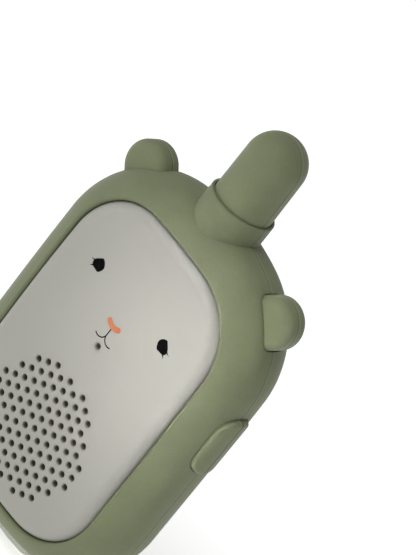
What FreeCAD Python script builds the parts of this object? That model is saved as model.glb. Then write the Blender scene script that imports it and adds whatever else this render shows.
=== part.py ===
import FreeCAD
import Part
import math
import os

# A child's walkie talkie with the face and ears of a bear, standing upright on its foot pad.
# Frame: +X to the right, +Y to the back, +Z up. The case halves meet on the plane Y = 0, and the
# origin is the centre of the foot pad's flat underside. All values are millimetres and degrees.

V = FreeCAD.Vector

# Case: outline in the X-Z plane, rolled over to the front and to the back
case_half_width = 35.9
case_bottom = 0.15
case_top = 103.2
case_corner_low = 26.0
case_corner_high = 28.0
case_crown_low = 100.0
case_crown_high = 60.0
side_crown = 1200.0
side_crown_start = 45.0
front_straight = 0.2
front_roll = 12.4
rear_straight = 0.8
rear_roll = 13.2
wall = 2.0
seam_bevel = 0.22
seam_gap = 0.26
seam_depth = 0.45
base_cut = 0.5
lip_round = 0.7

# Face panel
panel_half_width = 27.3
panel_bottom = 8.3
panel_top = 93.9
panel_corner_low = 18.0
panel_corner_high = 18.5
panel_crown = 120.0
panel_front = 13.5
panel_dome_radius = 770.0
panel_middle = 51.1
panel_edge_round = 3.0
panel_wall = 2.0
panel_gap = 0.15
panel_flange = 1.5
flange_front = 8.6
flange_back = 7.55

# Speaker grille and microphone hole
grille_height = 31.3
grille_column = 2.753
grille_row = 3.3
grille_reach = {0: 5.0, 1: 4.5, 2: 5.0, 3: 4.5, 4: 4.0, 5: 2.5, 6: 1.0}
hole_radius = 0.85
hole_bevel = 0.2
mic_height = 60.1

# Printed face
print_depth = 0.25
print_proud = 0.02
eye_across = 13.83
eye_height = 74.25
nose_bottom = 66.0
nose_arc = 3.1
nose_half_width = 0.74
nose_start = 235.0
nose_end = 305.0
mouth_stroke = 0.32
mouth_arc = 2.0
mouth_fork = 64.1
mouth_sweep = 117.0

# Antenna and its collar
collar_radius = 9.06
collar_rim = 108.1
collar_floor = 106.7
collar_sleeve_bottom = 97.5
collar_rim_round = 0.3
rim_gap = 0.25
shaft_foot = 106.9
shaft_low_radius = 8.15
shaft_high_radius = 7.97
shaft_shoulder = 121.2
antenna_tip = 129.1
stem_radius = 6.0
stem_bottom = 97.3
stem_flange_radius = 7.0
stem_flange_height = 1.3
antenna_bore = 4.8
antenna_bore_top = 123.0

# Ears: sprung push buttons that stand out of the upper corners
ear_angle = 47.5
ear_reach = 28.26
ear_radius = 6.6
ear_half_depth = 3.8
ear_corner = 2.3
ear_line = 0.18
ear_gap = 0.28
ear_neck = 4.5
ear_flange_thick = 1.2
ear_flange_margin = 1.0
ear_travel = 0.8
ear_plunger = 3.3
plunger_y = 2.0
plunger_radius = 1.2
switch_slack = 0.3

# Push-to-talk button on the right side
talk_height = 62.4
talk_half_length = 8.9
talk_half_depth = 5.2
talk_corner = 4.4
talk_top = 37.2
talk_curve = 8.6
talk_edge_round = 1.1
talk_line_half = 0.15
talk_line_depth = 0.25
talk_gap = 0.3
talk_flange_out = 31.3
talk_flange_in = 30.1
talk_flange_margin = 1.2
talk_travel = 1.0
talk_plunger = 2.2

# Foot pad
pad_half_width = 15.6
pad_half_depth = 5.0
pad_thick = 0.5

# Batteries (three AAA cells) and their compartment
cell_radius = 5.25
cell_length = 44.5
cell_pitch = 10.8
cell_bottom = 15.6
cell_y = 6.65
end_gap = 1.2
spring_wire = 0.25
tray_half_width = 17.6
tray_bottom = 13.4
tray_top = 62.3
tray_wall = 1.0
tray_front = 0.4
tray_back = 11.8

# Battery door
door_half_width = 17.4
door_bottom = 13.8
door_top = 68.4
door_corner = 3.0
door_thick = 2.0
door_gap = 0.3
door_screw_height = 64.8

# Circuit board and speaker
board_half_width = 26.8
board_bottom = 53.5
board_top = 93.6
board_back = 0.0
board_front = -1.6
speaker_radius = 18.0
magnet_radius = 9.5

# Case screws
screw_x = 31.2
screw_heights = (25.0, 77.0)
screw_shank = 1.1
screw_head = 2.1
boss_radius = 2.3
rear_boss_radius = 3.4
recess_radius = 2.5
head_seat = 4.5
case_screw_length = 11.0

rear_depth = rear_straight + rear_roll
front_depth = front_straight + front_roll


def polar(centre, radius, degrees):
    """Point at an angle from +X towards +Z, in the plane Y = 0."""
    a = math.radians(degrees)
    return V(centre[0] + radius * math.cos(a), 0, centre[1] + radius * math.sin(a))


def arc_xz(centre, radius, start, end):
    middle = (start + end) / 2
    points = [polar(centre, radius, a) for a in (start, middle, end)]
    return Part.Arc(*points).toShape()


def meeting_point(centre_a, radius_a, centre_b, radius_b):
    """Right-hand crossing of two circles in the X-Z plane, given as (x, z) centres."""
    dx = centre_b[0] - centre_a[0]
    dz = centre_b[1] - centre_a[1]
    apart = math.hypot(dx, dz)
    along = (radius_a ** 2 - radius_b ** 2 + apart ** 2) / (2 * apart)
    across = math.sqrt(radius_a ** 2 - along ** 2)
    crossings = []
    for sign in (-1, 1):
        x = centre_a[0] + (along * dx - sign * across * dz) / apart
        z = centre_a[1] + (along * dz + sign * across * dx) / apart
        crossings.append((x, z))
    return max(crossings)


def upper_corner(half_width, top, corner, crown, side_start):
    """Centre of the upper right corner arc, which touches the leaning side and the crown from inside."""
    side_centre = (half_width - side_crown, side_start)
    crown_centre = (0.0, top - crown)
    return meeting_point(side_centre, side_crown - corner, crown_centre, crown - corner)


def rounded_outline(half_width, bottom, top, corner_low, crown_low, corner_high, crown_high, side_start):
    """Closed wire in X-Z: sides that lean in above side_start, corner arcs, crowns above and below."""
    cx_high, cz_high = upper_corner(half_width, top, corner_high, crown_high, side_start)
    side_x = half_width - side_crown
    lean = math.degrees(math.atan2(cz_high - side_start, cx_high - side_x))
    turn_high = math.degrees(math.atan2(cz_high - (top - crown_high), cx_high))
    cx_low = half_width - corner_low
    rise_low = math.sqrt((crown_low - corner_low) ** 2 - cx_low ** 2)
    cz_low = bottom + crown_low - rise_low
    turn_low = math.degrees(math.atan2(rise_low, cx_low))
    edges = [
        Part.makeLine(V(half_width, 0, cz_low), V(half_width, 0, side_start)),
        arc_xz((side_x, side_start), side_crown, 0, lean),
        arc_xz((cx_high, cz_high), corner_high, lean, turn_high),
        arc_xz((0, top - crown_high), crown_high, turn_high, 180 - turn_high),
        arc_xz((-cx_high, cz_high), corner_high, 180 - turn_high, 180 - lean),
        arc_xz((-side_x, side_start), side_crown, 180 - lean, 180),
        Part.makeLine(V(-half_width, 0, side_start), V(-half_width, 0, cz_low)),
        arc_xz((-cx_low, cz_low), corner_low, 180, 180 + turn_low),
        arc_xz((0, bottom + crown_low), crown_low, 180 + turn_low, 360 - turn_low),
        arc_xz((cx_low, cz_low), corner_low, -turn_low, 0),
    ]
    return Part.Wire(edges)


def case_outline(offset):
    return rounded_outline(
        case_half_width + offset,
        case_bottom - offset,
        case_top + offset,
        case_corner_low + offset,
        case_crown_low + offset,
        case_corner_high + offset,
        case_crown_high + offset,
        side_crown_start,
    )


def panel_outline(offset):
    return rounded_outline(
        panel_half_width + offset,
        panel_bottom - offset,
        panel_top + offset,
        panel_corner_low + offset,
        panel_crown + offset,
        panel_corner_high + offset,
        panel_crown + offset,
        side_crown_start,
    )


def slab(wire, y_start, y_end):
    """Solid between two planes of constant Y."""
    face = Part.Face(wire)
    face.translate(V(0, y_start, 0))
    return face.extrude(V(0, y_end - y_start, 0))


def edges_at_y(solid, y):
    """Edges that lie in the plane at this Y."""
    return [e for e in solid.Edges if all(abs(v.Y - y) < 1e-4 for v in e.Vertexes)]


def case_half(side, offset=0.0, bevel=0.0):
    """Solid half of the case body: side -1 is the front, +1 the back."""
    straight = front_straight if side < 0 else rear_straight
    roll = (front_roll if side < 0 else rear_roll) + offset
    end = side * (straight + roll)
    body = slab(case_outline(offset), 0, end)
    body = body.makeFillet(roll, edges_at_y(body, end))
    if bevel:
        body = body.makeChamfer(bevel, edges_at_y(body, 0))
    return body


def cylinder_y(x, z, radius, y_start, y_end):
    low = min(y_start, y_end)
    return Part.makeCylinder(radius, abs(y_end - y_start), V(x, low, z), V(0, 1, 0))


def cylinder_z(radius, z_start, z_end, x=0.0, y=0.0):
    return Part.makeCylinder(radius, z_end - z_start, V(x, y, z_start), V(0, 0, 1))


def ring_y(x, z, inner, outer, y_start, y_end):
    return cylinder_y(x, z, outer, y_start, y_end).cut(cylinder_y(x, z, inner, y_start, y_end))


def box(x_low, x_high, y_low, y_high, z_low, z_high):
    return Part.makeBox(x_high - x_low, y_high - y_low, z_high - z_low, V(x_low, y_low, z_low))


def rounded_box_y(half_width, z_low, z_high, corner, y_low, y_high, x_middle=0.0):
    """Box with its four edges along Y rounded."""
    block = box(x_middle - half_width, x_middle + half_width, y_low, y_high, z_low, z_high)
    along = [e for e in block.Edges if abs(e.tangentAt(e.FirstParameter).y) > 0.99]
    return block.makeFillet(corner, along)


def half_space(side):
    """Large box on one side of the seam plane."""
    reach = 200.0
    if side < 0:
        return box(-reach, reach, -reach, 0, -reach, reach)
    return box(-reach, reach, 0, reach, -reach, reach)


def stadium_block(half_length, half_depth, corner, low, high):
    """Rounded block along +Z, long in X and shallow in Y, centred on the Z axis."""
    block = box(-half_length, half_length, -half_depth, half_depth, low, high)
    along = [e for e in block.Edges if abs(e.tangentAt(e.FirstParameter).z) > 0.99]
    return block.makeFillet(min(corner, half_depth * 0.999), along)


def ear_place(shape, side):
    """Carries a shape built along +Z to an ear's place; side +1 is the right ear."""
    centre = ear_centre(side)
    turn = side * (90.0 - ear_angle)
    shape.Placement = FreeCAD.Placement(centre, FreeCAD.Rotation(V(0, 1, 0), turn))
    return shape


def ear_centre(side):
    corner = upper_corner(case_half_width, case_top, case_corner_high, case_crown_high, side_crown_start)
    point = polar(corner, ear_reach, ear_angle)
    return V(side * point.x, 0, point.z)


def ear_slot(side):
    depth = ear_half_depth + ear_gap
    length = ear_radius + ear_gap
    return ear_place(stadium_block(length, depth, ear_corner + ear_gap, -ear_neck - 1.5, ear_radius), side)


def talk_block(grow, x_low, x_high, corner_grow=0.0):
    """Rounded block along +X at the push-to-talk button's place."""
    half_length = talk_half_length + grow
    half_depth = talk_half_depth + grow
    block = box(x_low, x_high, -half_depth, half_depth, talk_height - half_length, talk_height + half_length)
    along = [e for e in block.Edges if abs(e.tangentAt(e.FirstParameter).x) > 0.99]
    return block.makeFillet(talk_corner + corner_grow, along)


def seam_bar(x):
    """Square bar along Z, standing on its edge, that bevels the collar's seam at this X."""
    side = seam_bevel * math.sqrt(2)
    bar = box(-side / 2, side / 2, -side / 2, side / 2, case_top - 3, collar_rim + 2)
    bar.Placement = FreeCAD.Placement(V(x, 0, 0), FreeCAD.Rotation(V(0, 0, 1), 45))
    return bar


def with_collar(body, side):
    """Adds this side's half of the antenna collar, its rim eased and its seam edges bevelled."""
    ring = cylinder_z(collar_radius, collar_sleeve_bottom + wall, collar_rim)
    body = body.fuse(ring.common(half_space(side)))
    rim = [e for e in body.Edges if e.BoundBox.ZMin > collar_rim - 1e-3 and abs(e.CenterOfMass.y) > 1]
    body = body.makeFillet(collar_rim_round, rim)
    return body.cut(seam_bar(collar_radius)).cut(seam_bar(-collar_radius))


def seam_groove():
    """Shallow slit round the front half, next to the seam, that shows as the parting line."""
    ring = slab(case_outline(1), -seam_gap, 0).cut(slab(case_outline(-seam_depth), -seam_gap, 0))
    ring = ring.cut(cylinder_z(collar_radius + 0.01, case_top - 3, collar_rim))
    tall = box(-collar_radius - 1, collar_radius + 1, -seam_gap, 0, case_top - 1.2, collar_rim + 1)
    tall = tall.cut(cylinder_z(collar_radius - seam_depth, case_top - 3, collar_rim + 2))
    return ring.fuse(tall)


def shell_solid(side):
    """What both case halves share: body, collar, hollow, antenna bore, ear slots and button slot."""
    body = with_collar(case_half(side, bevel=seam_bevel), side)
    if side < 0:
        body = body.cut(seam_groove())
    hollow = case_half(side, offset=-wall)
    sleeve = cylinder_z(stem_radius + 2.4, collar_sleeve_bottom, collar_rim - wall).common(half_space(side))
    body = body.cut(hollow).fuse(sleeve.common(case_half(side)))
    body = body.cut(cylinder_z(stem_radius + 0.05, collar_sleeve_bottom - 1, collar_rim + 1))
    body = body.cut(cylinder_z(shaft_low_radius + rim_gap, collar_floor, collar_rim + 1))
    body = body.cut(ear_slot(1)).cut(ear_slot(-1))
    body = body.cut(talk_block(talk_gap, case_half_width - 4, case_half_width + 4, talk_gap))
    return body.cut(box(-40, 40, -40, 40, -10, base_cut))


def front_shell():
    shell = shell_solid(-1)
    opening = slab(panel_outline(panel_gap), -20, -4)
    shell = shell.cut(opening)
    lip = [e for e in shell.Edges if is_lip(e)]
    shell = shell.makeFillet(lip_round, lip)
    for x in (-screw_x, screw_x):
        for z in screw_heights:
            boss = cylinder_y(x, z, boss_radius, -0.15, -front_depth).common(case_half(-1, -wall / 2))
            shell = shell.fuse(boss).cut(cylinder_y(x, z, screw_shank - 0.05, 0, -7.5))
    return shell.removeSplitter()


def is_lip(edge):
    """True for the outer edge of the panel opening, where the opening's wall meets the rolled front."""
    point = edge.valueAt((edge.FirstParameter + edge.LastParameter) / 2)
    apart = panel_outline(panel_gap).distToShape(Part.Vertex(V(point.x, 0, point.z)))[0]
    return apart < 0.01 and point.y < wall - front_depth


def rear_shell():
    shell = shell_solid(1)
    for x in (-screw_x, screw_x):
        for z in screw_heights:
            boss = cylinder_y(x, z, rear_boss_radius, 0.15, rear_depth).common(case_half(1, -wall / 2))
            shell = shell.fuse(boss)
            shell = shell.cut(cylinder_y(x, z, recess_radius, head_seat, rear_depth + 1))
            shell = shell.cut(cylinder_y(x, z, screw_shank + 0.15, 0, head_seat))
    doorway = rounded_box_y(
        door_half_width + door_gap, door_bottom - door_gap, door_top + door_gap, door_corner + door_gap, 5, 20
    )
    shell = shell.cut(doorway)
    ledge = rounded_box_y(3.6, tray_top + 0.3, door_top + 3.6, 2.0, 6.5, rear_depth - wall - 0.1)
    web = box(-3.0, 3.0, rear_depth - wall - 1, rear_depth - wall + 1, door_top + 0.8, door_top + 3.0)
    shell = shell.fuse(ledge).fuse(web)
    shell = shell.cut(cylinder_y(0, door_screw_height, screw_shank - 0.05, 7.5, rear_depth))
    return shell.removeSplitter()


def dome(front):
    """Large sphere whose foremost point is the middle of the face panel."""
    return Part.makeSphere(panel_dome_radius, V(0, panel_dome_radius - front, panel_middle))


def dome_y(x, z, sink=0.0):
    """Y of the face panel's front surface at a place on it."""
    radial = math.hypot(x, z - panel_middle)
    radius = panel_dome_radius
    return radius - panel_front - math.sqrt(radius ** 2 - radial ** 2) + sink


def grille_places():
    for column in range(-6, 7):
        reach = grille_reach[abs(column)]
        rows = int(2 * reach) + 1
        for row in range(rows):
            yield column * grille_column, grille_height + (row - reach) * grille_row


def bevelled_hole(x, z):
    """Drill for one hole, with the small bevel at its mouth."""
    mouth = dome_y(x, z)
    drill = cylinder_y(x, z, hole_radius, mouth - 1, -flange_back)
    cone = Part.makeCone(
        hole_radius + 2 * hole_bevel, hole_radius, 2 * hole_bevel, V(x, mouth - hole_bevel, z), V(0, 1, 0)
    )
    return drill.fuse(cone)


def face_panel(marks):
    panel = slab(panel_outline(0), -panel_front - 3, -flange_front)
    panel = panel.common(dome(panel_front))
    ahead = [e for e in panel.Edges if e.BoundBox.YMax < -flange_front - 0.5]
    rim = [e for e in ahead if abs(e.tangentAt(e.FirstParameter).y) < 0.5]
    panel = panel.makeFillet(panel_edge_round, rim)
    panel = panel.fuse(slab(panel_outline(panel_flange), -flange_front, -flange_back))
    pocket = slab(panel_outline(-panel_wall), -panel_front - 3, -flange_back + 1)
    panel = panel.cut(pocket.common(dome(panel_front - panel_wall)))
    seat = ring_y(0, grille_height, speaker_radius + 0.4, speaker_radius + 1.6, -panel_front + 1, -8.0)
    mic_seat = ring_y(0, mic_height, 4.3, 5.3, -panel_front + 1, -8.0)
    posts = [cylinder_y(x, z, 2.0, -panel_front + 1, board_front - 0.05) for x, z in board_screw_places()]
    inside = dome(panel_front - 0.5)
    for piece in [seat, mic_seat] + posts:
        panel = panel.fuse(piece.common(inside))
    drills = [bevelled_hole(x, z) for x, z in grille_places()]
    drills.append(bevelled_hole(0, mic_height))
    drills.extend(cylinder_y(x, z, 0.8, -7, 0) for x, z in board_screw_places())
    panel = panel.cut(Part.makeCompound(drills))
    panel = panel.cut(Part.makeCompound(marks))
    return panel


def board_screw_places():
    return [(-21.5, 58.0), (21.5, 57.0), (-12.5, 88.5), (12.5, 88.5)]


def inlay(wires):
    """Thin print that follows the dome: outlines in X-Z become solids between two domes."""
    pieces = []
    for wire in wires:
        pieces.append(slab(wire, -panel_front - 2, -panel_front + 3))
    body = pieces[0]
    for piece in pieces[1:]:
        body = body.fuse(piece)
    skin = dome(panel_front + print_proud).cut(dome(panel_front - print_depth))
    return body.common(skin).removeSplitter()


def closed_curve(points):
    curve = Part.BSplineCurve()
    curve.interpolate([V(x, 0, z) for x, z in points], PeriodicFlag=True)
    return Part.Wire([curve.toShape()])


def polygon(points):
    vertices = [V(x, 0, z) for x, z in points]
    return Part.makePolygon(vertices + [vertices[0]])


def eye_print(side):
    """Egg-shaped eye with a flat outer slope and two short lashes on its lower outer side."""
    outline = [
        (-0.24, 1.89), (-1.13, 1.40), (-1.84, 0.20), (-1.55, -0.90), (-0.90, -1.72), (0.30, -1.68),
        (1.30, -1.52), (1.84, -0.85), (1.76, 0.05), (0.55, 1.42),
    ]
    upper_lash = [(1.45, 0.15), (2.30, -0.24), (2.92, -0.50), (2.30, -0.46), (1.60, -0.35)]
    lower_lash = [(1.00, -1.20), (1.60, -1.50), (2.10, -2.18), (1.50, -1.80), (0.90, -1.55)]
    wires = []
    shapes = [(closed_curve, outline), (polygon, upper_lash), (polygon, lower_lash)]
    for maker, points in shapes:
        placed = [(side * (eye_across + x), eye_height + z) for x, z in points]
        wires.append(maker(placed))
    return inlay(wires)


def stroke(centre, radius, start, end, half_width):
    """Wire of an arc drawn with a round-ended pen."""
    inner = radius - half_width
    outer = radius + half_width
    tip_start = polar(centre, radius, start)
    tip_end = polar(centre, radius, end)
    sweep = 1 if end > start else -1
    cap_end = polar((tip_end.x, tip_end.z), half_width, end + 90 * sweep)
    cap_start = polar((tip_start.x, tip_start.z), half_width, start - 90 * sweep)
    edges = [
        arc_xz(centre, outer, start, end),
        Part.Arc(polar(centre, outer, end), cap_end, polar(centre, inner, end)).toShape(),
        arc_xz(centre, inner, end, start),
        Part.Arc(polar(centre, inner, start), cap_start, polar(centre, outer, start)).toShape(),
    ]
    return Part.Wire(edges)


def nose_print():
    """Smile-shaped nose: a broad arc with round ends."""
    centre = (0, nose_bottom + nose_half_width + nose_arc)
    return inlay([stroke(centre, nose_arc, nose_start, nose_end, nose_half_width)])


def mouth_print(nose):
    """Upright line under the nose that parts into two hooks."""
    half = mouth_stroke / 2
    line_top = nose_bottom + 0.4
    line_foot = mouth_fork - 0.2
    line = polygon([(-half, line_top), (half, line_top), (half, line_foot), (-half, line_foot)])
    left = stroke((-mouth_arc, mouth_fork), mouth_arc, 0, -mouth_sweep, half)
    right = stroke((mouth_arc, mouth_fork), mouth_arc, 180, 180 + mouth_sweep, half)
    return inlay([line, left, right]).cut(nose)


def antenna_core():
    """Solid inside the shaft's outer skin, which the parting slit stops at."""
    foot = shaft_foot - 2
    low = shaft_low_radius - seam_depth
    high = shaft_high_radius - seam_depth
    shaft = Part.makeCone(low, high, shaft_shoulder - foot, V(0, 0, foot))
    return shaft.fuse(Part.makeSphere(high, V(0, 0, shaft_shoulder), V(0, 1, 0)))


def antenna_profile():
    """Half outline of the antenna cover, revolved about Z."""
    side = math.sqrt(0.5)
    rise = antenna_tip - shaft_shoulder
    middle = V(shaft_high_radius * side, 0, shaft_shoulder + rise * side)
    dome_arc = Part.Arc(V(shaft_high_radius, 0, shaft_shoulder), middle, V(0, 0, antenna_tip))
    flange_top = stem_bottom
    flange_bottom = stem_bottom - stem_flange_height
    points = [
        V(0, 0, antenna_tip),
        V(0, 0, antenna_bore_top),
        V(antenna_bore, 0, antenna_bore_top),
        V(antenna_bore, 0, flange_bottom),
        V(stem_flange_radius, 0, flange_bottom),
        V(stem_flange_radius, 0, flange_top),
        V(stem_radius, 0, flange_top),
        V(stem_radius, 0, shaft_foot),
        V(shaft_low_radius, 0, shaft_foot),
        V(shaft_high_radius, 0, shaft_shoulder),
    ]
    edges = [Part.makeLine(a, b) for a, b in zip(points, points[1:])]
    return Part.Wire(edges + [dome_arc.toShape()])


def antenna_half(side):
    """Half of the antenna cover: the rear half's seam edge is bevelled, the front half's is slit."""
    whole = Part.Face(antenna_profile()).revolve(V(0, 0, 0), V(0, 0, 1), 360)
    half = whole.common(half_space(side))
    if side < 0:
        slit = box(-20, 20, -seam_gap, 1, shaft_foot - 1, antenna_tip + 1)
        return half.cut(slit.cut(antenna_core()))
    in_seam = [e for e in half.Edges if all(abs(v.Y) < 1e-4 for v in e.Vertexes)]
    flat = [e for e in in_seam if abs(e.CenterOfMass.y) < 1e-3 and e.CenterOfMass.z > shaft_foot + 2]
    seam = [e for e in flat if abs(e.CenterOfMass.x) > antenna_bore + 0.3]
    return half.makeChamfer(seam_bevel, seam)


def helix(radius, wire_radius, pitch, z_start, z_end):
    path = Part.makeHelix(pitch, z_end - z_start, radius)
    profile = Part.Wire([Part.makeCircle(wire_radius, V(radius, 0, 0), V(0, 1, 0))])
    coil = Part.Wire(path).makePipeShell([profile], True, True)
    coil.translate(V(0, 0, z_start))
    return coil


def antenna_rod():
    rod = cylinder_z(2.4, 94.6, 122.0)
    return rod.fuse(cylinder_z(4.6, 96.2, 98.2))


def antenna_coil():
    return helix(3.3, 0.4, 2.3, 101.0, 120.0)


def ear_body():
    """Thick round-topped tab with rounded rims, standing on its neck."""
    neck_left = V(-ear_radius, 0, -ear_neck)
    neck_right = V(ear_radius, 0, -ear_neck)
    edges = [
        Part.makeLine(neck_left, V(-ear_radius, 0, 0)),
        arc_xz((0, 0), ear_radius, 180, 0),
        Part.makeLine(V(ear_radius, 0, 0), neck_right),
        Part.makeLine(neck_right, neck_left),
    ]
    body = slab(Part.Wire(edges), -ear_half_depth, ear_half_depth)
    faces = edges_at_y(body, -ear_half_depth) + edges_at_y(body, ear_half_depth)
    rims = [e for e in faces if e.CenterOfMass.z > 0.01 - ear_neck]
    return body.makeFillet(ear_corner, rims)


def ear_button(side):
    """Ear with a moulding line round its rim, and a flange and plunger inside the case."""
    line = Part.makeTorus(ear_radius + 0.05, ear_line, V(0, 0, 0), V(0, 1, 0))
    ear = ear_body().cut(line.common(box(-10, 10, -2, 2, 0.6, 10)))
    flange = stadium_block(
        ear_radius + ear_flange_margin,
        ear_half_depth + ear_flange_margin,
        ear_corner + ear_flange_margin,
        -ear_neck - ear_flange_thick,
        -ear_neck,
    )
    plunger = cylinder_z(plunger_radius, -ear_neck - ear_flange_thick - ear_plunger, -ear_neck, 0, plunger_y)
    ear = ear.fuse(flange).fuse(plunger).removeSplitter()
    return ear_place(ear, side)


def ear_switch(side):
    """Side-push switch under an ear: body, metal frame and actuator stem."""
    tip = -ear_neck - ear_flange_thick - ear_plunger - ear_travel - switch_slack
    body = box(-3.0, 3.0, 0.05, 4.0, tip - 4.5, tip - 1.1)
    stem = cylinder_z(1.0, tip - 1.1, tip, 0, plunger_y)
    return ear_place(body.fuse(stem), side)


def talk_button():
    """Pillow-shaped side button with a moulding line, an inner flange and a plunger."""
    pad = talk_block(0, talk_flange_out, talk_top + 2)
    roof = Part.makeCylinder(
        talk_curve, 60, V(talk_top - talk_curve, 0, talk_height - 30), V(0, 0, 1)
    )
    base = box(talk_flange_out, case_half_width - 1.2, -20, 20, talk_height - 30, talk_height + 30)
    pad = pad.common(roof.fuse(base))
    outside = [e for e in pad.Edges if e.BoundBox.XMin > case_half_width - 1.5]
    top = [e for e in outside if e.BoundBox.XMax > case_half_width]
    pad = pad.makeFillet(talk_edge_round, top)
    low = talk_height - talk_half_length
    high = talk_height + talk_half_length
    depth = talk_line_depth
    line = box(case_half_width - 0.5, talk_top + 1, -talk_line_half, talk_line_half, low - 1, high + 1)
    keep = box(case_half_width - 2, talk_top - depth, -1, 1, low + depth, high - depth)
    corners = [e for e in keep.Edges if abs(e.tangentAt(e.FirstParameter).y) > 0.99 and e.BoundBox.XMin > 36]
    keep = keep.makeFillet(talk_edge_round, corners)
    pad = pad.cut(line.cut(keep))
    flange = talk_block(talk_flange_margin, talk_flange_in, talk_flange_out, talk_flange_margin)
    root = V(talk_flange_in - talk_plunger, plunger_y, talk_height)
    plunger = Part.makeCylinder(plunger_radius, talk_plunger, root, V(1, 0, 0))
    return pad.fuse(flange).fuse(plunger).removeSplitter()


def talk_switch():
    tip = talk_flange_in - talk_plunger - talk_travel - switch_slack
    body = box(tip - 5.7, tip - 1.5, 0.05, 4.0, talk_height - 3, talk_height + 3)
    stem = Part.makeCylinder(1.0, 1.5, V(tip - 1.5, plunger_y, talk_height), V(1, 0, 0))
    return body.fuse(stem)


def foot_pad():
    """Thin rubber pad under the base, flat underneath, its ends following the case."""
    block = slab(case_outline(pad_thick), -pad_half_depth, pad_half_depth)
    reach = rounded_pad(pad_half_width, pad_half_depth, 2.0, 0.0, 6.0)
    pad = block.common(reach)
    return pad.cut(case_half(-1)).cut(case_half(1))


def rounded_pad(half_x, half_y, corner, z_low, z_high):
    block = box(-half_x, half_x, -half_y, half_y, z_low, z_high)
    along = [e for e in block.Edges if abs(e.tangentAt(e.FirstParameter).z) > 0.99]
    return block.makeFillet(corner, along)


def battery_door():
    """Flush rear door with grip ridges, a screw hole at its top and two tongues at its foot."""
    plate = rounded_box_y(
        door_half_width, door_bottom, door_top, door_corner, rear_depth - door_thick, rear_depth
    )
    front = edges_at_y(plate, rear_depth)
    plate = plate.makeChamfer(0.25, front)
    plate = plate.cut(cylinder_y(0, door_screw_height, screw_shank + 0.2, 0, 20))
    plate = plate.cut(cylinder_y(0, door_screw_height, screw_head + 0.3, rear_depth - 1.1, 20))
    for row in range(4):
        z = 52.0 - 2.2 * row
        plate = plate.cut(rounded_box_y(6.0, z - 0.45, z + 0.45, 0.44, rear_depth - 0.5, rear_depth + 1))
    return plate


def screw(x, z, seat, length, head_radius, shank):
    """Cross-head screw that points to the front: its head sits behind the seat plane."""
    head_height = 1.2 if head_radius > 1.7 else 0.8
    body = cylinder_y(x, z, head_radius, seat, seat + head_height)
    top = edges_at_y(body, seat + head_height)
    body = body.makeFillet(0.35, top)
    body = body.fuse(cylinder_y(x, z, shank, seat, seat - length))
    slot_long = head_radius * 0.65
    slot_half = 0.22
    slot_floor = seat + head_height - 0.6
    body = body.cut(box(x - slot_long, x + slot_long, slot_floor, seat + 5, z - slot_half, z + slot_half))
    return body.cut(box(x - slot_half, x + slot_half, slot_floor, seat + 5, z - slot_long, z + slot_long))


def case_screws():
    screws = []
    for x in (-screw_x, screw_x):
        for z in screw_heights:
            screws.append(screw(x, z, head_seat + 0.02, case_screw_length, screw_head, screw_shank - 0.1))
    return Part.makeCompound(screws)


def board_screws():
    seat = board_back + 0.02
    return Part.makeCompound([screw(x, z, seat, 5.0, 1.5, 0.75) for x, z in board_screw_places()])


def door_screw():
    return screw(0, door_screw_height, rear_depth - 1.08, 3.2, screw_head - 0.1, screw_shank - 0.1)


def cell(index):
    """AAA cell, positive end up on the outer two and down on the middle one."""
    x = (index - 1) * cell_pitch
    nub = 1.0
    z = cell_bottom
    body = cylinder_z(cell_radius, z, z + cell_length - nub, x, cell_y)
    rims = [e for e in body.Edges if isinstance(e.Curve, Part.Circle)]
    body = body.makeFillet(0.5, rims)
    body = body.fuse(cylinder_z(1.9, z + cell_length - nub - 0.1, z + cell_length, x, cell_y))
    if index == 1:
        body.rotate(V(x, cell_y, z + cell_length / 2), V(1, 0, 0), 180)
    return body


def battery_tray():
    """Open-backed tray that holds the cells, with ribs between them."""
    tray = rounded_box_y(tray_half_width, tray_bottom, tray_top, 1.5, tray_front, tray_back)
    floor_y = tray_front + tray_wall - 0.1
    inside = rounded_box_y(
        tray_half_width - tray_wall, tray_bottom + tray_wall, tray_top - tray_wall, 0.8, floor_y, 20
    )
    return tray.cut(inside)


def contact_springs():
    """Coil springs that press on the flat ends of the cells."""
    coils = []
    height = end_gap - 2 * spring_wire - 0.08
    for index in range(3):
        start = tray_bottom + tray_wall if index != 1 else cell_bottom + cell_length + 0.04
        spring = helix(2.6, spring_wire, height, 0.0, height)
        spring.translate(V((index - 1) * cell_pitch, cell_y, start + spring_wire + 0.02))
        coils.append(spring)
    return Part.makeCompound(coils)


def contact_plates():
    """Spring-steel plates with a pressed dimple that meets each cell's raised end."""
    plates = []
    for index in range(3):
        x = (index - 1) * cell_pitch
        plate = box(x - 4.2, x + 4.2, cell_y - 4.2, cell_y + 4.2, 0.02, 0.32)
        plate = plate.fuse(cylinder_z(1.5, 0.2, end_gap - 0.03, x, cell_y))
        if index == 1:
            plate.translate(V(0, 0, tray_bottom + tray_wall))
        else:
            plate.rotate(V(x, cell_y, 0), V(1, 0, 0), 180)
            plate.translate(V(0, 0, tray_top - tray_wall))
        plates.append(plate)
    return Part.makeCompound(plates)


def revolve_y(points, z):
    """Solid of revolution about a line along Y at X = 0 and this height; points are (radius, y)."""
    wire = Part.makePolygon([V(r, y, z) for r, y in points] + [V(points[0][0], points[0][1], z)])
    return Part.Face(wire).revolve(V(0, 0, z), V(0, 1, 0), 360)


def speaker_frame():
    """Pressed basket: flat flange in front, cone behind, seat for the magnet."""
    points = [
        (speaker_radius, -9.9), (speaker_radius, -9.1), (16.4, -9.1), (10.9, -5.3), (5.2, -5.3),
        (5.2, -6.0), (10.4, -6.0), (15.7, -9.7), (15.7, -9.9),
    ]
    return revolve_y(points, grille_height)


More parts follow.
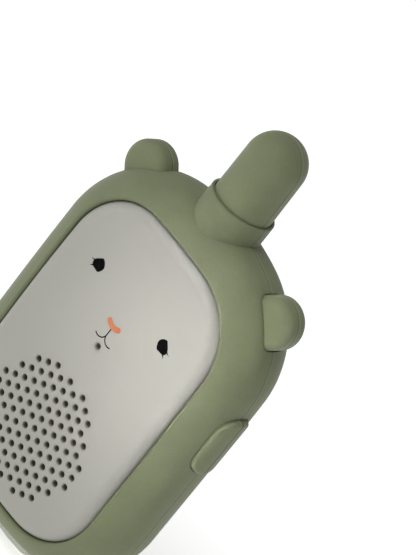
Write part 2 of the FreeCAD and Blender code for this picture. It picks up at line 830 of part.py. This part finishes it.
def speaker_cone():
    """Paper cone with its rolled surround and dust cap."""
    points = [(0, -8.0), (2.2, -7.8), (4.2, -6.9), (12.6, -9.3), (13.8, -9.85), (15.0, -9.6), (15.0, -9.45),
              (13.8, -9.6), (12.6, -9.05), (4.0, -6.6), (0, -7.6)]
    return revolve_y(points, grille_height)


def speaker_magnet():
    disc = cylinder_y(0, grille_height, magnet_radius, -5.25, -2.3)
    plate = cylinder_y(0, grille_height, magnet_radius - 0.8, -2.3, -1.6)
    return disc.fuse(plate)


def speaker_cloth():
    disc = cylinder_y(0, grille_height, speaker_radius, -13, -9)
    behind = panel_front - panel_wall
    return disc.common(dome(behind - 0.05)).cut(dome(behind - 0.35))


def speaker_gasket():
    ring = ring_y(0, grille_height, 15.8, speaker_radius, -13, -9.95)
    return ring.common(dome(panel_front - panel_wall - 0.4))


def microphone():
    capsule = cylinder_y(0, mic_height, 3.0, -9.9, -7.3)
    return capsule.makeFillet(0.3, edges_at_y(capsule, -9.9))


def microphone_boot():
    boot = cylinder_y(0, mic_height, 4.2, -11.2, -7.0)
    boot = boot.cut(cylinder_y(0, mic_height, 3.05, -9.95, -6.0))
    return boot.cut(cylinder_y(0, mic_height, 1.0, -12, -9))


def main_board():
    outline = rounded_outline(board_half_width, board_bottom, board_top, 3.0, 400.0, 18.8, 200.0, 60.0)
    board = slab(outline, board_front, board_back)
    for x, z in board_screw_places():
        board = board.cut(cylinder_y(x, z, 0.95, -3, 1))
    return board


def shield_can():
    can = rounded_box_y(8.0, 70.0, 84.0, 0.8, board_front - 2.6, board_front - 0.02, 4.0)
    return can.makeFillet(0.4, edges_at_y(can, board_front - 2.6))


def main_chip():
    return box(-18.0, -9.0, board_front - 1.3, board_front - 0.02, 69.0, 78.0)


def board_parts():
    """Small components on the board: capacitors, coil cans and a crystal."""
    parts = []
    for x, z, radius, height in ((-4, 82, 2.5, 4.6), (4.5, 82, 2.5, 4.6), (-16, 66.5, 2.0, 3.6)):
        can = cylinder_y(x, z, radius, board_back + 0.02, board_back + height)
        parts.append(can.makeFillet(0.3, edges_at_y(can, board_back + height)))
    for x, z in ((-13, 83), (-19, 66), (16, 66), (8, 64)):
        parts.append(box(x - 1.6, x + 1.6, board_front - 1.4, board_front - 0.02, z - 1.0, z + 1.0))
    parts.append(rounded_box_y(1.8, 84.5, 89.0, 1.7, board_front - 1.9, board_front - 0.02, -6.0))
    return Part.makeCompound(parts)


def wire_run(points, radius):
    """Insulated lead: straight runs joined by tangent arcs."""
    path = [V(*p) for p in points]
    edges = []
    start = path[0]
    for before, corner, after in zip(path, path[1:], path[2:]):
        into = (corner - before).normalize()
        out = (after - corner).normalize()
        turn = into.getAngle(out)
        cut = 0.4 * min((corner - before).Length, (after - corner).Length)
        bend = cut / math.tan(turn / 2)
        a = corner - into * cut
        b = corner + out * cut
        inward = (out - into).normalize()
        centre = corner + inward * (bend / math.cos(turn / 2))
        middle = centre - inward * bend
        edges.append(Part.makeLine(start, a))
        edges.append(Part.Arc(a, middle, b).toShape())
        start = b
    edges.append(Part.makeLine(start, path[-1]))
    spine = Part.Wire(edges)
    direction = (path[1] - path[0]).normalize()
    profile = Part.Wire([Part.makeCircle(radius, path[0], direction)])
    return spine.makePipeShell([profile], True, True)


def speaker_leads():
    leads = []
    for x in (12.2, 14.2):
        route = [(x, -4.6, 38.0), (x + 1, -3.6, 44.0), (x + 2, -3.8, 51.0), (x, -2.6, 56.0)]
        leads.append(wire_run(route, 0.45))
    return Part.makeCompound(leads)


def battery_leads():
    leads = []
    for x in (-20.0, -22.0):
        route = [(x, 4.0, 40.0), (x - 1, 4.0, 49.0), (x, 2.2, 56.0), (x, 0.9, 62.0)]
        leads.append(wire_run(route, 0.45))
    return Part.makeCompound(leads)


def microphone_leads():
    leads = []
    for x in (-1.2, 1.2):
        route = [(x, -6.8, 60.1), (x, -5.2, 60.3), (2 * x, -4.2, 62.5), (2 * x, -1.9, 65.0)]
        leads.append(wire_run(route, 0.3))
    return Part.makeCompound(leads)


def antenna_lead():
    return wire_run([(0, 0.6, 94.5), (0.2, 1.3, 92.6), (0.8, 1.8, 90.2), (1.0, 0.6, 88.0)], 0.4)


def build():
    left_eye = eye_print(-1)
    right_eye = eye_print(1)
    nose = nose_print()
    mouth = mouth_print(nose)
    nodes = {
        "front_shell": front_shell(),
        "rear_shell": rear_shell(),
        "face_panel": face_panel([left_eye, right_eye, nose, mouth]),
        "left_eye": left_eye,
        "right_eye": right_eye,
        "nose": nose,
        "mouth": mouth,
        "antenna_front_half": antenna_half(-1),
        "antenna_rear_half": antenna_half(1),
        "antenna_rod": antenna_rod(),
        "antenna_coil": antenna_coil(),
        "antenna_lead": antenna_lead(),
        "left_ear_button": ear_button(-1),
        "right_ear_button": ear_button(1),
        "left_ear_switch": ear_switch(-1),
        "right_ear_switch": ear_switch(1),
        "talk_button": talk_button(),
        "talk_switch": talk_switch(),
        "foot_pad": foot_pad(),
        "battery_door": battery_door(),
        "door_screw": door_screw(),
        "case_screws": case_screws(),
        "battery_tray": battery_tray(),
        "battery_left": cell(0),
        "battery_middle": cell(1),
        "battery_right": cell(2),
        "contact_springs": contact_springs(),
        "contact_plates": contact_plates(),
        "speaker_frame": speaker_frame(),
        "speaker_cone": speaker_cone(),
        "speaker_magnet": speaker_magnet(),
        "speaker_cloth": speaker_cloth(),
        "speaker_gasket": speaker_gasket(),
        "microphone": microphone(),
        "microphone_boot": microphone_boot(),
        "main_board": main_board(),
        "board_screws": board_screws(),
        "shield_can": shield_can(),
        "main_chip": main_chip(),
        "board_parts": board_parts(),
        "speaker_leads": speaker_leads(),
        "battery_leads": battery_leads(),
        "microphone_leads": microphone_leads(),
    }
    os.makedirs("parts", exist_ok=True)
    for name, shape in nodes.items():
        bounds = shape.BoundBox
        print(
            f"{name}: solids {len(shape.Solids)} valid {shape.isValid()} volume {shape.Volume:.1f} "
            f"x {bounds.XMin:.2f} {bounds.XMax:.2f} y {bounds.YMin:.2f} {bounds.YMax:.2f} "
            f"z {bounds.ZMin:.2f} {bounds.ZMax:.2f}"
        )
        shape.exportStep(f"parts/{name}.step")


build()
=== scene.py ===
import math

import bmesh
import bpy
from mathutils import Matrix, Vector


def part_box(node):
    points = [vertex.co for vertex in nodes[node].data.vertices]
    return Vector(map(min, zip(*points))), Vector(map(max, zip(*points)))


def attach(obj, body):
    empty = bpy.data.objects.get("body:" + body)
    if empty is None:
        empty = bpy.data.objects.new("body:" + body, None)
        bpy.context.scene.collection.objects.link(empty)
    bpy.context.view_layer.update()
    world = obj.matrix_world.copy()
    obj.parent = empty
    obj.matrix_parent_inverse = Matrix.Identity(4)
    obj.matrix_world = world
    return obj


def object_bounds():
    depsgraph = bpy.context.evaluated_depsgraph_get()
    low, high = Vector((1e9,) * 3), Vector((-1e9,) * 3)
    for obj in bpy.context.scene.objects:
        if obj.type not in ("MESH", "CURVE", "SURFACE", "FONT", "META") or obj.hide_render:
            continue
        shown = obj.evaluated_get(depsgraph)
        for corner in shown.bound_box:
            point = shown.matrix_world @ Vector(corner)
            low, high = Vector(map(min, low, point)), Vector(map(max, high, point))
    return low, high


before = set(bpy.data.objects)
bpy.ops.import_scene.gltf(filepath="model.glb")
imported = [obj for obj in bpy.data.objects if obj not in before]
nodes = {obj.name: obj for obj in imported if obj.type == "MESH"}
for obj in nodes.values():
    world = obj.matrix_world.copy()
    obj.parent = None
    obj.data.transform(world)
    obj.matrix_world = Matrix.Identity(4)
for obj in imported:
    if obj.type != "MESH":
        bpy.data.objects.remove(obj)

cadLow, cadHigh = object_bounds()
mm = 0.001
print("frame loaded:", len(nodes), "nodes")


class Wire:  # one output socket, so that shader maths reads as a plain expression
    def __init__(self, finish, socket):
        self.finish = finish
        self.socket = socket

    def maths(self, operation, first, second=0.0, third=0.0):
        return self.finish.node("ShaderNodeMath", {"operation": operation}, {0: first, 1: second, 2: third})

    def __add__(self, other):
        return self.maths("ADD", self, other)

    def __radd__(self, other):
        return self.maths("ADD", other, self)

    def __sub__(self, other):
        return self.maths("SUBTRACT", self, other)

    def __rsub__(self, other):
        return self.maths("SUBTRACT", other, self)

    def __mul__(self, other):
        return self.maths("MULTIPLY", self, other)

    def __rmul__(self, other):
        return self.maths("MULTIPLY", other, self)

    def __truediv__(self, other):
        return self.maths("DIVIDE", self, other)

    def __rtruediv__(self, other):
        return self.maths("DIVIDE", other, self)

    def __pow__(self, other):
        return self.maths("POWER", self, other)

    def size(self):
        return self.maths("ABSOLUTE", self)

    def wave(self):
        return self.maths("SINE", self)

    def clamped(self):
        return self.finish.node("ShaderNodeClamp", {}, {"Value": self})

    def band(self, low, high):  # 0 below low, 1 above high, smooth between
        settings = {"interpolation_type": "SMOOTHSTEP"}
        return self.finish.node("ShaderNodeMapRange", settings, {"Value": self, "From Min": low, "From Max": high})


class Finish:  # one material: a Principled shader and the nodes that feed it
    def __init__(self, name, colour, roughness, **constants):
        self.material = bpy.data.materials.new(name)
        self.material.use_nodes = True
        self.tree = self.material.node_tree
        self.shader = self.tree.nodes["Principled BSDF"]
        self.colour = colour
        self.shader.inputs["Base Color"].default_value = (*colour, 1)
        self.shader.inputs["Roughness"].default_value = roughness
        for socket, value in constants.items():
            self.shader.inputs[socket.replace("_", " ")].default_value = value
        self.place = self.node("ShaderNodeTexCoord", {}, {}, "Object")
        self.material.diffuse_color = (*colour, 1)

    def node(self, kind, settings, sockets, output=0):
        made = self.tree.nodes.new(kind)
        for key, value in settings.items():
            if key == "stops":
                self.setStops(made.color_ramp, value)
            else:
                setattr(made, key, value)
        for key, value in sockets.items():
            self.put(made.inputs[key], value)
        return Wire(self, made.outputs[output])

    def setStops(self, ramp, stops):
        while len(ramp.elements) < len(stops):
            ramp.elements.new(0.5)
        for element, (position, colour) in zip(ramp.elements, stops):
            element.position = position
            element.color = (*colour, 1)

    def put(self, socket, value):
        if isinstance(value, Wire):
            self.tree.links.new(value.socket, socket)
        elif isinstance(value, tuple) and len(value) == 3 and socket.type == "RGBA":
            socket.default_value = (*value, 1)
        else:
            socket.default_value = value

    def noise(self, size, detail=2.0, rough=0.5, place=None):  # size is the width of a blotch, in metres
        sockets = {"Vector": place or self.place, "Scale": 1 / size, "Detail": detail, "Roughness": rough}
        return self.node("ShaderNodeTexNoise", {}, sockets)

    def blend(self, amount, first, second, how="MIX"):
        settings = {"data_type": "RGBA", "blend_type": how}
        return self.node("ShaderNodeMix", settings, {0: amount, 6: first, 7: second}, 2)

    def shaded(self, amount, darker=0.9, lighter=1.08):  # the finish's own colour, varied by a 0 to 1 value
        low = tuple(c * darker for c in self.colour)
        high = tuple(c * lighter for c in self.colour)
        return self.blend(amount, low, high)

    def bump(self, height, depth, strength=1.0):
        sockets = {"Height": height, "Distance": depth, "Strength": strength}
        self.feed("Normal", self.node("ShaderNodeBump", {}, sockets))

    def feed(self, name, value):
        self.put(self.shader.inputs[name], value)

    def axes(self):
        return [self.node("ShaderNodeSeparateXYZ", {}, {0: self.place}, side) for side in range(3)]


def spread(signal, low=0.35, high=0.65):  # a noise's middle range, stretched to 0 to 1
    return ((signal - low) / (high - low)).clamped()


# soft-touch green moulding
# seamShade is the strength of the painted shade along the seam groove; edgeLift is the strength of the painted
# highlight just behind it
greenCover = {"colour": (0.154, 0.174, 0.0935), "roughness": 0.62, "grain": 0.28 * mm, "grainDepth": 0.016 * mm,
              "mottle": 9 * mm, "pores": 0.7 * mm, "seamMiddle": -0.13 * mm, "seamHalf": 0.16 * mm,
              "edgeMiddle": 0.24 * mm, "edgeHalf": 0.12 * mm, "seamShade": 0.62, "edgeLift": 0.22}


def partingLine(f, middle, half):  # 1 along a line round the moulding at one depth, 0 away from it
    x, y, z = f.axes()
    return 1 - (y - middle).size().band(half * 0.6, half * 1.4)


def makeGreen(name, lift=1.0):
    colour = tuple(c * lift for c in greenCover["colour"])
    f = Finish(name, colour, greenCover["roughness"], Sheen_Weight=0.12, Sheen_Roughness=0.45)
    f.shader.inputs["Specular IOR Level"].default_value = 0.32
    mottle = spread(f.noise(greenCover["mottle"], 3.0))
    pores = spread(f.noise(greenCover["pores"], 2.0, 0.6))
    grain = f.noise(greenCover["grain"], 3.0, 0.65)
    tone = mottle * 0.45 + pores * 0.2 + spread(grain, 0.3, 0.7) * 0.35
    # painted shade: a dark line painted along the seam groove, where the groove wall falls into shade
    seam = partingLine(f, greenCover["seamMiddle"], greenCover["seamHalf"])
    # painted highlight: a pale line painted just behind the seam, where the lit groove wall catches the light
    seamHighlightMask = partingLine(f, greenCover["edgeMiddle"], greenCover["edgeHalf"])
    highlightedTone = f.blend(seamHighlightMask * greenCover["edgeLift"], f.shaded(tone, 0.86, 1.1), (0.42, 0.44, 0.34))
    f.feed("Base Color", f.blend(seam * greenCover["seamShade"], highlightedTone, (0.02, 0.022, 0.012)))
    f.feed("Roughness", 0.56 + 0.1 * mottle + 0.05 * grain)
    f.bump(grain + 0.6 * pores, greenCover["grainDepth"], 0.8)
    return f.material


# warm grey face panel: satin moulding, with painted shade on the drill walls
facePanel = {"colour": (0.318, 0.316, 0.281), "wall": (0.17, 0.145, 0.11), "grain": 0.16 * mm,
             "domeRadius": 770 * mm, "wallStart": 0.45 * mm, "wallEnd": 1.1 * mm}


def makePanel():
    f = Finish("facePanelGrey", facePanel["colour"], 0.42)
    low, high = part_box("face_panel")
    x, y, z = f.axes()
    middleZ = (low.z + high.z) / 2
    radius = facePanel["domeRadius"]
    out = x * x + (z - middleZ) * (z - middleZ)
    surface = low.y + out / (2 * radius)
    depth = y - surface
    # painted shade: the drill walls turn darker and browner with depth below the dome surface, as shade falls
    # inside each hole
    wall = depth.band(facePanel["wallStart"], facePanel["wallEnd"]) * drilledArea(x, z)
    grain = f.noise(facePanel["grain"], 2.0, 0.7)
    cloud = spread(f.noise(14 * mm, 2.0))
    tone = cloud * 0.4 + spread(grain, 0.3, 0.7) * 0.6
    base = f.shaded(tone, 0.975, 1.02)
    f.feed("Base Color", f.blend(wall, base, facePanel["wall"]))
    f.feed("Roughness", 0.4 + 0.06 * cloud + 0.05 * grain)
    f.bump(grain, 0.006 * mm, 0.7)
    return f.material


def drilledArea(x, z):  # 1 over the grille and the microphone hole
    grilleLow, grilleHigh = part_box("speaker_cloth")
    micLow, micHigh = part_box("microphone")
    fromGrille = (x * x + (z - (grilleLow.z + grilleHigh.z) / 2) ** 2) ** 0.5
    fromMic = (x * x + (z - (micLow.z + micHigh.z) / 2) ** 2) ** 0.5
    grilleReach = grilleHigh.x + 3 * mm
    micReach = 2 * mm
    return (2 - fromGrille.band(grilleReach, grilleReach + mm) - fromMic.band(micReach, micReach + mm)).clamped()


# prints
def makePrint(name, colour, roughness):
    f = Finish(name, colour, roughness)
    f.shader.inputs["Specular IOR Level"].default_value = 0.0
    speck = f.noise(0.12 * mm, 3.0, 0.7)
    cloud = f.noise(1.4 * mm, 2.0)
    f.feed("Base Color", f.shaded(0.5 * spread(speck) + 0.5 * spread(cloud), 0.9, 1.08))
    f.feed("Roughness", roughness - 0.06 + 0.12 * cloud)
    f.bump(speck, 0.004 * mm, 0.6)
    return f.material


# rubber foot pad
def makeRubber(name, colour, cell=0.5 * mm):
    f = Finish(name, colour, 0.8)
    fine = f.noise(cell, 4.0, 0.6)
    f.feed("Base Color", f.shaded(spread(fine), 0.85, 1.12))
    f.feed("Roughness", 0.72 + 0.16 * fine)
    f.bump(fine, 0.03 * mm)
    return f.material


# black mouldings inside
def makeBlackPlastic(name, colour=(0.018, 0.018, 0.019)):
    f = Finish(name, colour, 0.5)
    grain = f.noise(0.3 * mm, 3.0, 0.6)
    wear = spread(f.noise(4 * mm, 3.0), 0.45, 0.7)
    f.feed("Base Color", f.shaded(wear, 0.8, 1.5))
    f.feed("Roughness", 0.44 + 0.16 * grain)
    f.bump(grain, 0.02 * mm)
    return f.material


# metals
def makeMetal(name, colour, roughness=0.3, stretch=(1, 1, 14)):
    f = Finish(name, colour, roughness, Metallic=1.0)
    brushed = f.node("ShaderNodeVectorMath", {"operation": "MULTIPLY"}, {0: f.place, 1: stretch})
    lines = f.noise(0.5 * mm, 3.0, 0.6, brushed)
    stain = spread(f.noise(3 * mm, 3.0), 0.4, 0.75)
    f.feed("Base Color", f.shaded(stain, 1.0, 0.82))
    f.feed("Roughness", roughness - 0.05 + 0.12 * lines + 0.12 * stain)
    f.bump(lines, 0.006 * mm)
    return f.material


# cells: printed wrap with a coloured band at the raised end and bare steel ends
cellWrap = {"body": (0.030, 0.085, 0.135), "band": (0.62, 0.50, 0.27), "steel": (0.72, 0.72, 0.70),
            "bandLength": 9 * mm, "endLength": 0.55 * mm, "pipLength": 1.2 * mm}


def makeCell(node, pipUp):
    f = Finish(node + "Wrap", cellWrap["body"], 0.3)
    low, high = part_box(node)
    x, y, z = f.axes()
    fromPip = high.z - z if pipUp else z - low.z
    fromFlat = z - low.z if pipUp else high.z - z
    shoulder = cellWrap["pipLength"] + cellWrap["endLength"]
    band = 1 - fromPip.band(shoulder + cellWrap["bandLength"], shoulder + cellWrap["bandLength"] + 0.15 * mm)
    ends = (2 - fromPip.band(shoulder, shoulder + 0.1 * mm)
            - fromFlat.band(cellWrap["endLength"], cellWrap["endLength"] + 0.1 * mm)).clamped()
    scuff = spread(f.noise(2.2 * mm, 4.0, 0.6), 0.5, 0.75)
    body = f.shaded(scuff, 1.0, 1.5)
    wrap = f.blend(band, body, cellWrap["band"])
    f.feed("Base Color", f.blend(ends, wrap, cellWrap["steel"]))
    f.feed("Metallic", (ends + 0.7 * band).clamped())
    f.feed("Roughness", 0.24 + 0.16 * scuff + 0.06 * ends)
    f.bump(scuff, 0.01 * mm)
    return f.material


# circuit board: solder mask over copper tracks
def makeBoard():
    f = Finish("solderMask", (0.015, 0.105, 0.045), 0.28, Coat_Weight=0.25)
    x, y, z = f.axes()
    runs = {"Vector": f.place, "Scale": 1 / (3.4 * mm), "Randomness": 0.75}
    cells = f.node("ShaderNodeTexVoronoi", {"feature": "F1", "distance": "CHEBYCHEV"}, runs, "Distance")
    tracks = 1 - (cells - 0.32).size().band(0.03, 0.06)
    pads = 1 - cells.band(0.07, 0.1)
    mask = f.blend(tracks * 0.65, f.colour, (0.05, 0.21, 0.08))
    f.feed("Base Color", f.blend(pads, mask, (0.72, 0.70, 0.66)))
    f.feed("Metallic", pads * 0.9)
    f.feed("Roughness", 0.3 - 0.05 * tracks + 0.1 * pads)
    f.bump(tracks + pads, 0.03 * mm)
    return f.material


# speaker: woven dust cloth, doped paper cone, foam
def makeWeave(name, colour, pitch):
    f = Finish(name, colour, 0.9)
    x, y, z = f.axes()
    warp = (x * (2 * math.pi / pitch)).wave()
    weft = (z * (2 * math.pi / pitch)).wave()
    weave = 0.5 + 0.5 * (warp * weft)
    f.feed("Base Color", f.shaded(weave, 0.4, 1.5))
    f.feed("Roughness", 0.82 + 0.12 * weave)
    f.bump(weave, 0.06 * mm)
    return f.material


def makePaper():
    f = Finish("conePaper", (0.022, 0.021, 0.020), 0.85)
    fibre = f.noise(0.35 * mm, 5.0, 0.7)
    f.feed("Base Color", f.shaded(spread(fibre), 0.7, 1.6))
    f.feed("Roughness", 0.78 + 0.14 * fibre)
    f.bump(fibre, 0.05 * mm)
    return f.material


# leads: two insulation colours split by side
def makeLead(name, first, second, splitX):
    f = Finish(name, first, 0.4)
    x, y, z = f.axes()
    side = x.band(splitX - 0.05 * mm, splitX + 0.05 * mm)
    shine = f.noise(0.8 * mm, 2.0)
    f.feed("Base Color", f.blend(side, f.shaded(shine, 0.85, 1.15), second))
    f.feed("Roughness", 0.34 + 0.14 * shine)
    f.bump(shine, 0.02 * mm)
    return f.material


def dress(material, *names):
    for name in names:
        obj = nodes[name]
        if not obj.material_slots:
            obj.data.materials.append(material)
        for slot in obj.material_slots:
            slot.material = material


green = makeGreen("softTouchGreen")
dress(green, "front_shell", "rear_shell", "battery_door")
dress(makeGreen("antennaGreen", 1.04), "antenna_front_half", "antenna_rear_half")
dress(makeGreen("buttonGreen", 1.06), "left_ear_button", "right_ear_button", "talk_button")
dress(makePanel(), "face_panel")
dress(makePrint("blackPrint", (0.004, 0.004, 0.004), 0.6), "left_eye", "right_eye", "mouth")
dress(makePrint("orangePrint", (0.46, 0.165, 0.078), 0.6), "nose")
dress(makeRubber("footRubber", (0.55, 0.56, 0.48)), "foot_pad")
dress(makeBlackPlastic("blackMoulding"), "battery_tray", "left_ear_switch", "right_ear_switch", "talk_switch",
      "antenna_rod", "main_chip", "board_parts")
steel = makeMetal("platedSteel", (0.60, 0.60, 0.61))
dress(steel, "door_screw", "case_screws", "board_screws", "contact_springs", "contact_plates", "speaker_frame",
      "speaker_magnet", "microphone", "shield_can")
dress(makeMetal("bareCopper", (0.62, 0.27, 0.13), 0.28), "antenna_coil")
for node, pipUp in (("battery_left", True), ("battery_middle", False), ("battery_right", True)):
    dress(makeCell(node, pipUp), node)
dress(makeBoard(), "main_board")
dress(makeWeave("dustCloth", (0.010, 0.010, 0.010), 0.35 * mm), "speaker_cloth")
dress(makePaper(), "speaker_cone")
dress(makeRubber("blackFoam", (0.02, 0.02, 0.02), 0.25 * mm), "speaker_gasket", "microphone_boot")
for node in ("speaker_leads", "battery_leads", "microphone_leads", "antenna_lead"):
    low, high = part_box(node)
    dress(makeLead(node + "Sleeve", (0.36, 0.02, 0.02), (0.015, 0.015, 0.015), (low.x + high.x) / 2), node)
print("finishes ready")


# even shading on the moulded surfaces, with real corners kept sharp
for obj in nodes.values():
    if obj.data.has_custom_normals:
        continue
    obj.data.shade_smooth()
    obj.data.set_sharp_from_angle(angle=math.radians(32))


# polarity marks moulded into the tray floor behind each cell
trayMarks = {"length": 3.2 * mm, "width": 0.7 * mm, "height": 0.12 * mm, "fromEnd": 5.5 * mm, "bevel": 0.04 * mm}


def addBar(mesh, centre, sizeX, sizeY, sizeZ):
    made = bmesh.ops.create_cube(mesh, size=1)["verts"]
    bmesh.ops.scale(mesh, vec=(sizeX, sizeY, sizeZ), verts=made)
    bmesh.ops.translate(mesh, vec=centre, verts=made)


def makeTrayMarks():
    low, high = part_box("battery_tray")
    floorY = low.y + 0.9 * mm
    mesh = bmesh.new()
    for node, pipUp in (("battery_left", True), ("battery_middle", False), ("battery_right", True)):
        cellLow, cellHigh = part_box(node)
        x = (cellLow.x + cellHigh.x) / 2
        plusZ = cellHigh.z - trayMarks["fromEnd"] if pipUp else cellLow.z + trayMarks["fromEnd"]
        minusZ = cellLow.z + trayMarks["fromEnd"] if pipUp else cellHigh.z - trayMarks["fromEnd"]
        y = floorY + trayMarks["height"] / 2 - 0.02 * mm
        addBar(mesh, (x, y, plusZ), trayMarks["length"], trayMarks["height"], trayMarks["width"])
        addBar(mesh, (x, y, plusZ), trayMarks["width"], trayMarks["height"] * 0.98, trayMarks["length"])
        addBar(mesh, (x, y, minusZ), trayMarks["length"], trayMarks["height"], trayMarks["width"])
    data = bpy.data.meshes.new("trayPolarityMarks")
    mesh.to_mesh(data)
    mesh.free()
    obj = bpy.data.objects.new("trayPolarityMarks", data)
    bpy.context.scene.collection.objects.link(obj)
    bevel = obj.modifiers.new("softEdges", "BEVEL")
    bevel.width = trayMarks["bevel"]
    bevel.segments = 2
    data.materials.append(makeBlackPlastic("markPlastic", (0.05, 0.05, 0.05)))
    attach(obj, "case")


makeTrayMarks()
print("details ready")


# floor, light and camera
studio = {"floorSide": 8.0, "floorColour": (0.93, 0.93, 0.93), "sky": 0.42, "paperGlow": 0.5}


def makeFloor():
    mesh = bmesh.new()
    bmesh.ops.create_grid(mesh, x_segments=8, y_segments=8, size=studio["floorSide"] / 2)
    data = bpy.data.meshes.new("studioFloor")
    mesh.to_mesh(data)
    mesh.free()
    floor = bpy.data.objects.new("studioFloor", data)
    bpy.context.scene.collection.objects.link(floor)
    floor.location = (0, 0, cadLow.z)
    f = Finish("floorPaper", studio["floorColour"], 0.9)
    f.feed("Base Color", f.shaded(spread(f.noise(0.004, 3.0)), 0.995, 1.0))
    f.shader.inputs["Emission Color"].default_value = (1, 1, 1, 1)
    f.shader.inputs["Emission Strength"].default_value = studio["paperGlow"]
    data.materials.append(f.material)


def makeLamp(name, place, aim, width, height, power, spread=180):
    light = bpy.data.lights.new(name, "AREA")
    light.shape = "RECTANGLE"
    light.size = width
    light.size_y = height
    light.energy = power
    light.spread = math.radians(spread)
    lamp = bpy.data.objects.new(name, light)
    bpy.context.scene.collection.objects.link(lamp)
    lamp.location = place
    lamp.rotation_euler = (Vector(aim) - Vector(place)).to_track_quat("-Z", "Y").to_euler()


makeFloor()
middle = (cadLow + cadHigh) / 2
makeLamp("keySoftbox", (-0.55, -0.75, 1.15), middle, 0.9, 0.9, 7.5)
makeLamp("frontFill", (0.25, -1.1, 0.35), middle, 0.8, 0.6, 1.6)
makeLamp("panelGlow", (-0.16, -0.55, 0.34), (0.024, -0.013, 0.072), 0.05, 0.05, 0.008, 6)

world = bpy.data.worlds.new("paleStudio")
world.use_nodes = True
world.node_tree.nodes["Background"].inputs["Color"].default_value = (1, 1, 1, 1)
world.node_tree.nodes["Background"].inputs["Strength"].default_value = studio["sky"]
bpy.context.scene.world = world
bpy.context.scene.view_settings.view_transform = "Standard"

viewpoint = {"place": (0.31302, -0.56727, 0.40019), "turn": (58.3696, -33.9352, 47.4996), "lens": 194.595}
cameraData = bpy.data.cameras.new("studioCamera")
cameraData.sensor_width = 36
cameraData.lens = viewpoint["lens"]
cameraData.clip_start = 0.05
cameraData.clip_end = 30
camera = bpy.data.objects.new("studioCamera", cameraData)
camera.location = viewpoint["place"]
camera.rotation_euler = [math.radians(angle) for angle in viewpoint["turn"]]
bpy.context.scene.collection.objects.link(camera)
bpy.context.scene.camera = camera
print("studio ready")
